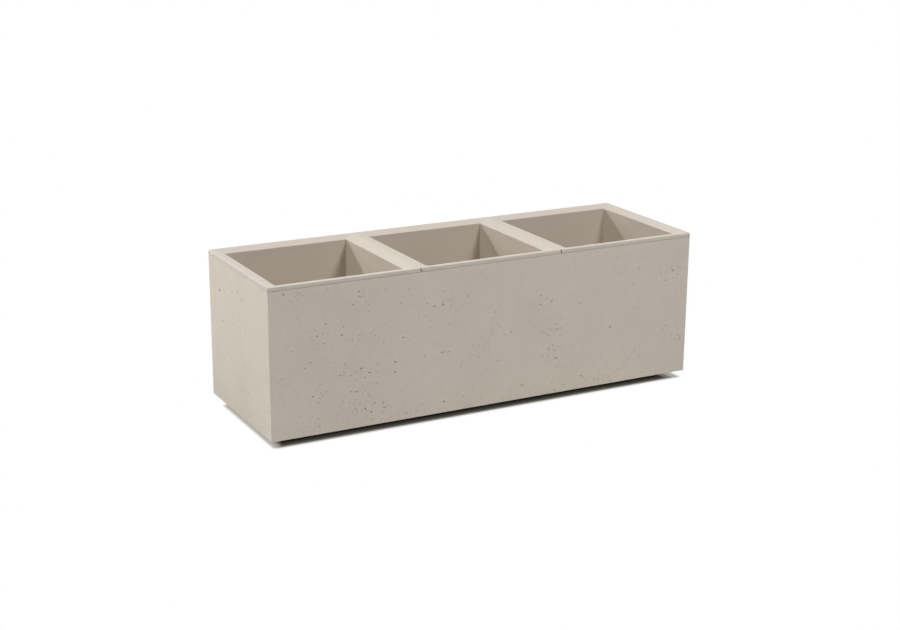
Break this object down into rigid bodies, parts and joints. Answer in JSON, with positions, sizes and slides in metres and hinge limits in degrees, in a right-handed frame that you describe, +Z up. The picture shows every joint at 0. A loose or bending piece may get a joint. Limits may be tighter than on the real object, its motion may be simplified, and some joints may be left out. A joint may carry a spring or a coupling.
{
  "type": "rectangular garden planter",
  "caption": "Long rectangular concrete planter on low runners, with lift-out folded metal liners whose rims cap the shell",
  "frame": {"origin": "on the ground, below the centre of the planter", "axes": "+X along the row of bays to the viewer's right from the front, +Y to the back, +Z up"},
  "size_m": [1.2, 0.4, 0.4],
  "materials": {
    "concrete": "cast fibre-reinforced concrete, sand grey, fine air pits, matt",
    "runner_concrete": "cast concrete, rough, matt",
    "coated_sheet": "sand-grey powder coat, satin",
    "rubber": "black EPDM rubber, matt",
    "grey_plastic": "grey PVC tube",
    "zinc_steel": "zinc-plated steel"
  },
  "bodies": {
    "shell": {"shell": "concrete", "drain_sleeve_left": "grey_plastic", "drain_sleeve_middle": "grey_plastic", "drain_sleeve_right": "grey_plastic", "runner_left": "runner_concrete", "runner_screw_left_front": "zinc_steel", "screw_socket_left_front": "zinc_steel", "lifting_socket_left_front": "zinc_steel", "runner_screw_left_back": "zinc_steel", "screw_socket_left_back": "zinc_steel", "lifting_socket_left_back": "zinc_steel", "runner_right": "runner_concrete", "runner_screw_right_front": "zinc_steel", "screw_socket_right_front": "zinc_steel", "lifting_socket_right_front": "zinc_steel", "runner_screw_right_back": "zinc_steel", "screw_socket_right_back": "zinc_steel", "lifting_socket_right_back": "zinc_steel"},
    "liner_left": {"liner_left": "coated_sheet", "liner_left_foot_front_left": "rubber", "liner_left_foot_front_right": "rubber", "liner_left_foot_back_left": "rubber", "liner_left_foot_back_right": "rubber", "liner_left_spacer_front": "rubber", "liner_left_spacer_right": "rubber", "liner_left_spacer_back": "rubber", "liner_left_spacer_left": "rubber"},
    "liner_middle": {"liner_middle": "coated_sheet", "liner_middle_foot_front_left": "rubber", "liner_middle_foot_front_right": "rubber", "liner_middle_foot_back_left": "rubber", "liner_middle_foot_back_right": "rubber", "liner_middle_spacer_front": "rubber", "liner_middle_spacer_right": "rubber", "liner_middle_spacer_back": "rubber", "liner_middle_spacer_left": "rubber"},
    "liner_right": {"liner_right": "coated_sheet", "liner_right_foot_front_left": "rubber", "liner_right_foot_front_right": "rubber", "liner_right_foot_back_left": "rubber", "liner_right_foot_back_right": "rubber", "liner_right_spacer_front": "rubber", "liner_right_spacer_right": "rubber", "liner_right_spacer_back": "rubber", "liner_right_spacer_left": "rubber"}
  },
  "joints": [
    {"name": "liner_left_lift", "type": "slide", "parent": "shell", "child": "liner_left", "axis": [0, 0, 1], "range_m": [0, 0.37]},
    {"name": "liner_middle_lift", "type": "slide", "parent": "shell", "child": "liner_middle", "axis": [0, 0, 1], "range_m": [0, 0.37]},
    {"name": "liner_right_lift", "type": "slide", "parent": "shell", "child": "liner_right", "axis": [0, 0, 1], "range_m": [0, 0.37]}
  ]
}
